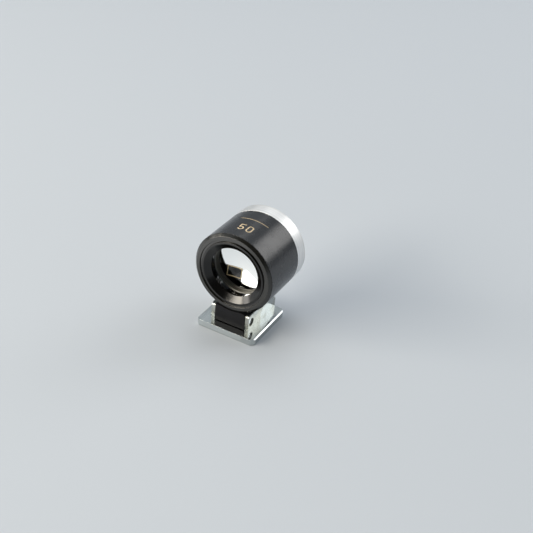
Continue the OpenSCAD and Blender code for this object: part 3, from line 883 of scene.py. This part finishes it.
def makeEyepiece():
    end = shellEnd + tube["spigot"]
    r, step = eyepiece["lensR"], frontEnd + eyepiece["front"] + eyepiece["thick"]
    black = turnedMetal("eyepieceBlack")
    cellFront, cellRear = frontEnd + eyepiece["cellFront"], frontEnd + eyepiece["cellRear"]
    cellR = rearRing["openingR"] - 0.02
    turnedPiece("eyepieceCell", [
        (r - 0.6, cellFront, 0.05), (tube["boreR"], cellFront, 0.05), (tube["boreR"], end + 0.6, 0.03),
        (cellR, end + 0.6, 0.03), (cellR, cellRear, 0.10),
        (r + 1.2, cellRear, 0.08), (r + 1.2, step, 0.03), (r, step, 0.02),
        (r, frontEnd + eyepiece["front"], 0.02), (r - 0.6, frontEnd + eyepiece["front"], 0.03),
    ], "finder", black, ["eyepiece_cell"])
    rear = frontEnd + eyepiece["ringRear"]
    eyeR, lipR = eyepiece["eyeR"], r - 0.4
    halfSlot = eyepiece["slot"] / 2  # spanner slots, one on each side
    cut = boxCutter((-r - 2, rear - 0.4, -halfSlot), (-eyeR - 0.1, rear + 1, halfSlot))
    cutOther = boxCutter((eyeR + 0.1, rear - 0.4, -halfSlot), (r + 2, rear + 1, halfSlot))
    turnedPiece("eyepieceRing", [
        (eyeR, step + 0.35, 0.08), (eyeR + 0.35, step, 0.04), (lipR, step, 0.02), (lipR, step - 0.85, 0.02),
        (r, step - 0.85, 0.02), (r, step, 0.02), (r + 1.2, step, 0.03), (r + 1.2, rear - 0.2, 0.05),
        (r + 1.0, rear, 0.08), (eyeR + 0.6, rear, 0.14),
    ], "finder", black, ["eyepiece_ring"], [cut, cutOther])
    steel = platedMetal("screwSteel")
    sink = 0.15
    down = screwTurn(0, shellEnd + rearRing["screwAt"], axisZ - barrelR + sink)
    screwR = rearRing["screwR"] - 0.02
    length = barrelR - tube["spigotR"] - sink
    slottedScrew("ringSetScrew", screwR, screwR, 0.3, length, 0.2, 0.28, "finder", steel,
                 ["ring_set_screw"], down)


# the window is the part of the film that is left off, below and left of these two lines
lens = {"radius": 9.0, "thick": 2.6, "curve": 25.0, "rimR": 7.5, "filmR": 7.45, "film": 0.03, "depth": 5.2,
        "windowX": -0.55, "windowZ": -2.1, "rows": 20, "filmRows": 30, "filmSteps": 160}


def hollowY(r, offset=0.0):
    # front face of the lens, hollow towards the front
    sag = lens["curve"] - math.sqrt(lens["curve"] ** 2 - lens["rimR"] ** 2)
    depth = math.sqrt(lens["curve"] ** 2 - r * r) - lens["curve"]
    return frontEnd + lens["depth"] + sag + depth - offset


def makeLenses():
    front = frontEnd + lens["depth"]
    back, rimR = front + lens["thick"], lens["radius"]
    reach = [lens["rimR"] * k / lens["rows"] for k in range(lens["rows"] + 1)]
    outline = [(r, hollowY(r)) for r in reach]
    outline += [(rimR - 0.1, front), (rimR, front + 0.1), (rimR, back - 0.1), (rimR - 0.1, back), (0, back)]
    glass = latheMesh("frontLens", outline, 160)
    smoothTurned(glass)
    material = lensGlass("frontGlass", (0.93, 0.96, 0.97), 1.52)
    placed(glass, "finder", material, ["objective_lens"], onAxis)

    build = bmesh.new()
    rings = [[build.verts.new((0, hollowY(0, lens["film"]), 0))]]
    steps = lens["filmSteps"]
    turn = [2 * math.pi * k / steps for k in range(steps)]
    for row in range(1, lens["filmRows"] + 1):
        r = lens["filmR"] * row / lens["filmRows"]
        y = hollowY(r, lens["film"])
        rings.append([build.verts.new((r * math.sin(a), y, r * math.cos(a))) for a in turn])
    for near, far in zip(rings, rings[1:]):
        for k in range(steps):
            m = (k + 1) % steps
            build.faces.new(list(dict.fromkeys((near[k % len(near)], near[m % len(near)], far[m], far[k]))))
    for place, normal in (((lens["windowX"], 0, 0), (1, 0, 0)), ((0, 0, lens["windowZ"]), (0, 0, 1))):
        geometry = build.verts[:] + build.edges[:] + build.faces[:]
        bmesh.ops.bisect_plane(build, geom=geometry, plane_co=place, plane_no=normal, dist=1e-5)
    inWindow = []
    for face in build.faces:
        c = face.calc_center_median()
        if c.x < lens["windowX"] and c.z < lens["windowZ"]:
            inWindow.append(face)
    bmesh.ops.delete(build, geom=inWindow, context="FACES")
    film = meshPiece("mirrorCoat", build)
    if film.data.polygons[0].normal.y > 0:
        film.data.flip_normals()
    smoothTurned(film)
    placed(film, "finder", filmMirror(), ["mirror_film"], onAxis)

    start = frontEnd + eyepiece["front"]
    rear = start + eyepiece["thick"]
    centre = rear - eyepiece["curve"]
    r = eyepiece["lensR"] - 0.02
    dome = [(r * k / 16, centre + math.sqrt(eyepiece["curve"] ** 2 - (r * k / 16) ** 2)) for k in range(17)]
    eye = latheMesh("eyeLens", [(0, start)] + [(r, start)] + dome[::-1], 128)
    smoothTurned(eye)
    material = lensGlass("eyeGlass", (0.95, 0.96, 0.98), 1.52)
    placed(eye, "finder", material, ["eyepiece_lens"], onAxis)


stem = {"toe": 2.2, "heelGap": 0.95, "pinR": 0.84, "washerR": 1.5, "washer": 0.25, "slot": 3.2, "slotR": 1.5,
        "springGap": 0.9, "heelHoleR": 1.0, "edge": 0.16}


def makeStem():
    toeEnd = frontEnd + stem["toe"]
    heelZ = plateHigh[2] + stem["heelGap"]
    outline = [(stemLow[1], stemLow[2]), (toeEnd, stemLow[2]), (toeEnd, heelZ), (stemHigh[1], heelZ),
               (stemHigh[1], stemHigh[2]), (stemLow[1], stemHigh[2])]
    piece = prism("stemBlock", outline, 0, stemLow[0], stemHigh[0])
    wide = stemHigh[0]
    cutters = [
        rodCutter((0, axisZ), barrelR, 1, stemLow[1] - 3, stemHigh[1] + 3, 288),
        rodCutter((pivotY, pivotZ), stem["pinR"], 0, -wide - 1, wide + 1),
        rodCutter((pivotY, pivotZ), stem["washerR"], 0, -wide - 1, -wide + stem["washer"]),
        rodCutter((pivotY, pivotZ), stem["washerR"], 0, wide - stem["washer"], wide + 1),
        rodCutter((pivotY, pivotZ), stem["slotR"], 0, -stem["slot"] / 2, stem["slot"] / 2),
        boxCutter((-stem["slot"] / 2, pivotY - stem["springGap"], stemLow[2] - 1),
                  (stem["slot"] / 2, pivotY + stem["springGap"], pivotZ)),
        rodCutter((0, pinHoleY), stem["heelHoleR"], 2, heelZ - 1, stemHigh[2] - 0.8),
    ]
    shaped(piece, cutters)
    softEdges(piece, stem["edge"])
    placed(piece, "finder", stemBlack(), ["stem_block"])


# the four screws between bracket and plate, as distances from the middle and from the front of the barrel
screws = {"x": 3, "front": 5, "rear": 13.2}


def screwPlaces():
    return [(x, y) for x in (-screws["x"], screws["x"]) for y in (screws["front"], screws["rear"])]


ear = {"slopeAt": 8.5, "rearZ": 5.0, "corner": 0.9, "thick": 1.15, "recessR": 1.25, "recess": 0.5,
       "floor": 0.9, "floorFront": 2.4, "edge": 0.12, "pinR": 0.82, "pinHoleR": 2.0, "screwR": 0.7}


def makeEars():
    base = plateHigh[2]
    front, rear, top = earLow[1], earHigh[1], earHigh[2]
    arc = [(front + ear["corner"] * (1 - math.cos(a)), top - ear["corner"] * (1 - math.sin(a)))
           for a in [math.pi / 2 * k / 8 for k in range(9)]]
    outline = [(front, base)] + arc + [(frontEnd + ear["slopeAt"], top), (rear, ear["rearZ"]), (rear, base)]
    piece = prism("earBracket", outline, 0, earLow[0], earHigh[0])
    inner = earHigh[0] - ear["thick"]
    floorStart = frontEnd + ear["floorFront"]
    cutters = [
        boxCutter((-inner, front - 1, base + ear["floor"]), (inner, rear + 1, top + 1)),
        boxCutter((-inner, front - 1, base - 1), (inner, floorStart, base + ear["floor"] + 0.5)),
        rodCutter((pivotY, pivotZ), ear["pinR"], 0, -8, 8),
        rodCutter((pivotY, pivotZ), ear["recessR"], 0, -8, earLow[0] + ear["recess"]),
        rodCutter((pivotY, pivotZ), ear["recessR"], 0, earHigh[0] - ear["recess"], 8),
        rodCutter((0, pinHoleY), ear["pinHoleR"], 2, base - 1, base + 2),
    ]
    for x, y in screwPlaces():
        cutters.append(rodCutter((x, frontEnd + y), ear["screwR"], 2, base - 1, base + 2, 32))
    shaped(piece, cutters)
    softEdges(piece, ear["edge"])
    placed(piece, "foot", platedMetal("earChrome"), ["ear_bracket"])


foot = {"bevel": 0.35, "corner": 1.0, "pinHoleR": 2.0, "screwR": 0.72, "headR": 1.34, "head": 0.8,
        "edge": 0.10}


def makeFoot():
    x, low, high = plateHigh[0], plateLow[1], plateHigh[1]
    c, top = foot["corner"], plateHigh[2]
    outline = [(c - x, low), (x - c, low), (x, low + c), (x, high - c),
               (x - c, high), (c - x, high), (-x, high - c), (-x, low + c)]
    piece = prism("footPlate", outline, 2, plateLow[2], top)
    cutters = []
    for side in (-1, 1):
        edge, over = side * (x - foot["bevel"]), side * (x + 0.2)
        ramp = [(edge, top + 0.01), (over, top - foot["bevel"] - 0.2), (over, top + 0.01)]
        cutters.append(prism("cutter", ramp, 1, low - 1, high + 1))
    cutters.append(rodCutter((0, pinHoleY), foot["pinHoleR"], 2, -1, top + 1, 96))
    for sx, y in screwPlaces():
        cutters.append(rodCutter((sx, frontEnd + y), foot["screwR"], 2, -1, top + 1, 48))
        cutters.append(rodCutter((sx, frontEnd + y), foot["headR"], 2, -1, foot["head"], 48))
    shaped(piece, cutters)
    softEdges(piece, foot["edge"])
    placed(piece, "foot", platedMetal("footChrome"), ["foot_plate"])


pin = {"dimpleR": 0.3, "dimple": 0.12, "chamfer": 0.20, "sunk": 0.22, "washer": 0.3}


def makeHinge():
    steel = platedMetal("screwSteel")
    toX = Matrix.Translation((0, pivotY, pivotZ)) @ Matrix.Rotation(-math.pi / 2, 4, "Z")
    half = pinHigh[0] - pin["sunk"]
    r = (pinHigh[2] - pinLow[2]) / 2
    turnedPiece("pivotPin", [
        (0, -half + pin["dimple"], 0), (pin["dimpleR"], -half, 0.06), (r, -half, pin["chamfer"]),
        (r, half, pin["chamfer"]), (pin["dimpleR"], half, 0.06), (0, half - pin["dimple"], 0),
    ], "foot", steel, ["pivot_pin"], move=toX, steps=96)
    washerLow, washerHigh = boxMm("pivot_washers")
    washerR = (washerHigh[2] - washerLow[2]) / 2
    bronze = platedMetal("washerBronze")
    for side, name in ((-1, "pivotWasherLeft"), (1, "pivotWasherRight")):
        inner, outer = sorted((side * washerHigh[0], side * (washerHigh[0] - pin["washer"])))
        bore = r + 0.05
        ring = [(bore, inner, 0.03), (washerR, inner, 0.05), (washerR, outer, 0.05), (bore, outer, 0.03)]
        turnedPiece(name, ring, "foot", bronze, ["pivot_washers"], move=toX, steps=96)
    for x, y in screwPlaces():
        side = "L" if x < 0 else "R"
        end = "Front" if y == screws["front"] else "Rear"
        up = screwTurn(x, frontEnd + y, 0.12, 0.4 * x + y)  # each slot stops at its own angle
        slottedScrew(f"bracketScrew{side}{end}", 1.28, 0.68, 0.66, 2.65, 0.3, 0.28, "foot", steel,
                     ["bracket_screws"], up)
    heelLow, heelHigh = boxMm("heel_screw")
    up = screwTurn(0, pinHoleY, heelLow[2], 0.5)
    length = heelHigh[2] - heelLow[2]
    slottedScrew("heelScrew", 0.98, 0.98, 0.4, length, 0.3, 0.5, "finder", steel, ["heel_screw"], up)


spring = {"wireR": 0.2, "coilR": 1.15, "turns": 3, "toeLeg": -0.35, "heelLeg": 3.9}


def makeSpring():
    wire, coil, turns = spring["wireR"], spring["coilR"], spring["turns"]
    half = turns * wire * 1.25
    sweep, steps = 360 * turns + 190, 40 * turns
    path = [(-half, spring["toeLeg"], wire + 0.05 - 2.5)]
    for i in range(steps + 1):
        a = math.radians(-100 - sweep * i / steps + 360 * turns)
        path.append((-half + 2 * half * i / steps, coil * math.cos(a), coil * math.sin(a)))
    path.append((half, spring["heelLeg"], coil))
    curve = bpy.data.curves.new("returnSpring", "CURVE")
    curve.dimensions = "3D"
    curve.bevel_depth = wire
    curve.bevel_resolution = 5
    curve.use_fill_caps = True
    line = curve.splines.new("POLY")
    line.points.add(len(path) - 1)
    for point, (x, y, z) in zip(line.points, path):
        point.co = (x, pivotY + y, pivotZ + z, 1)
    holder = linked("springPath", curve)
    graph = bpy.context.evaluated_depsgraph_get()
    mesh = bpy.data.meshes.new_from_object(holder.evaluated_get(graph), depsgraph=graph)
    bpy.data.objects.remove(holder)
    for face in mesh.polygons:
        face.use_smooth = True
    piece = linked("returnSpring", mesh)
    placed(piece, "finder", platedMetal("springSteel"), ["return_spring"])


def finishInnerParts():
    # carried over from the frame, only their finish changes
    black = turnedMetal("innerBlack")
    steel = platedMetal("screwSteel")
    gold = goldPaint("goldFrame", (0.95, 0.74, 0.46), 0.30, 0.75)
    finishes = {"lens_cell": black, "spacer_tube": black, "field_mask": black, "stem_screws": steel,
                "frame_line": gold}
    for name, material in finishes.items():
        for place in bpy.data.objects[name].material_slots:
            place.material = material


makeCamera()
makeStudio()
makeFloor()
print("camera, floor and lights made")
makeBarrel()
makeBezel()
makeConeRing()
makeRidgedTube()
makeRearRing()
makeEyepiece()
makeLenses()
print("barrel made")
makeStem()
makeEars()
makeFoot()
makeHinge()
makeSpring()
finishInnerParts()
print("stem, hinge and foot made")
